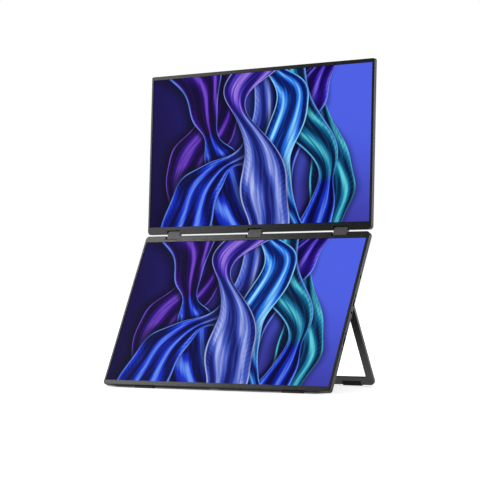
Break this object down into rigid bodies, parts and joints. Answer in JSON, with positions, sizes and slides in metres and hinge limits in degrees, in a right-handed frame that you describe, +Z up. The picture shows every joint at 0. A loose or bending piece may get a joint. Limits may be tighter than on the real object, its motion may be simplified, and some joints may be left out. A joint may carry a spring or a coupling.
{
  "type": "laptop screen extender",
  "caption": "Portable screen extender with two stacked displays on dual-axis hinges and a fold-out frame stand behind the lower one.",
  "frame": {"origin": "on the surface it stands on, under the middle of the whole part", "axes": "+X to the viewer's right, +Y away from the viewer, +Z up"},
  "size_m": [0.3504, 0.1274, 0.3993],
  "materials": {
    "housing": "dark grey anodised, satin",
    "bezel": "fine matt grey",
    "display_glass": "lit display behind a low-gloss face",
    "backlight": "light guide in a thin tray",
    "circuit_board": "solder mask",
    "steel": "plain",
    "socket_metal": "nickel plated",
    "black_plastic": "matt black",
    "flex": "thin film",
    "light_pipe": "clear moulding",
    "rubber": "matt rubber",
    "hinge_metal": "satin dark grey",
    "stand_metal": "dark grey anodised, satin"
  },
  "bodies": {
    "lower_display": {"lower_rear_housing": "housing", "lower_front_bezel": "bezel", "lower_display_glass": "display_glass", "lower_backlight": "backlight", "main_board": "circuit_board", "main_board_screws": "steel", "port_board": "circuit_board", "port_board_screws": "steel", "port_flex_cable": "flex", "usb_c_socket": "socket_metal", "mini_hdmi_socket": "socket_metal", "headphone_jack": "socket_metal", "side_switches": "black_plastic", "status_light": "light_pipe", "speakers": "black_plastic", "speaker_grilles": "black_plastic", "front_feet": "rubber", "stand_brackets": "steel", "stand_bracket_screws": "steel", "lower_hinge_leaves": "steel", "lower_hinge_screws": "steel", "lower_hinge_shafts": "steel", "lower_spring_washers": "steel", "lower_shaft_nuts": "steel", "lower_cable_barrels": "steel", "lower_display_cable": "black_plastic"},
    "hinge_links": {"left_hinge_block": "hinge_metal", "middle_hinge_block": "hinge_metal", "right_hinge_block": "hinge_metal", "hinge_display_cable": "black_plastic"},
    "upper_display": {"upper_rear_housing": "housing", "upper_front_bezel": "bezel", "upper_display_glass": "display_glass", "upper_backlight": "backlight", "driver_board": "circuit_board", "driver_board_screws": "steel", "upper_hinge_leaves": "steel", "upper_hinge_screws": "steel", "upper_hinge_shafts": "steel", "upper_spring_washers": "steel", "upper_shaft_nuts": "steel", "upper_cable_barrels": "steel", "upper_display_cable": "black_plastic"},
    "stand": {"stand_frame": "stand_metal", "stand_pivot_shafts": "steel", "stand_pads": "rubber"},
    "power_button": {"power_button": "black_plastic"},
    "source_key": {"source_key": "black_plastic"},
    "plus_key": {"plus_key": "black_plastic"},
    "minus_key": {"minus_key": "black_plastic"}
  },
  "joints": [
    {"name": "lower_fold", "type": "hinge", "parent": "lower_display", "child": "hinge_links", "pos_m": [0, 0.03202, 0.18594], "axis": [1, 0, 0], "range_deg": [0, 90]},
    {"name": "upper_fold", "type": "hinge", "parent": "hinge_links", "child": "upper_display", "pos_m": [0, 0.03618, 0.19415], "axis": [1, 0, 0], "range_deg": [-22.2, 67.8]},
    {"name": "stand_fold", "type": "hinge", "parent": "lower_display", "child": "stand", "pos_m": [0, 0.00642, 0.1293], "axis": [1, 0, 0], "range_deg": [-50.3, 39.7]},
    {"name": "power_press", "type": "slide", "parent": "lower_display", "child": "power_button", "axis": [-1, 0, 0], "range_m": [0, 0.0004], "stiffness_N_per_m": 1500, "springref_m": -0.0003},
    {"name": "source_press", "type": "slide", "parent": "lower_display", "child": "source_key", "axis": [-1, 0, 0], "range_m": [0, 0.0004], "stiffness_N_per_m": 1500, "springref_m": -0.0003},
    {"name": "plus_press", "type": "slide", "parent": "lower_display", "child": "plus_key", "axis": [-1, 0, 0], "range_m": [0, 0.0004], "stiffness_N_per_m": 1500, "springref_m": -0.0003},
    {"name": "minus_press", "type": "slide", "parent": "lower_display", "child": "minus_key", "axis": [-1, 0, 0], "range_m": [0, 0.0004], "stiffness_N_per_m": 1500, "springref_m": -0.0003}
  ]
}
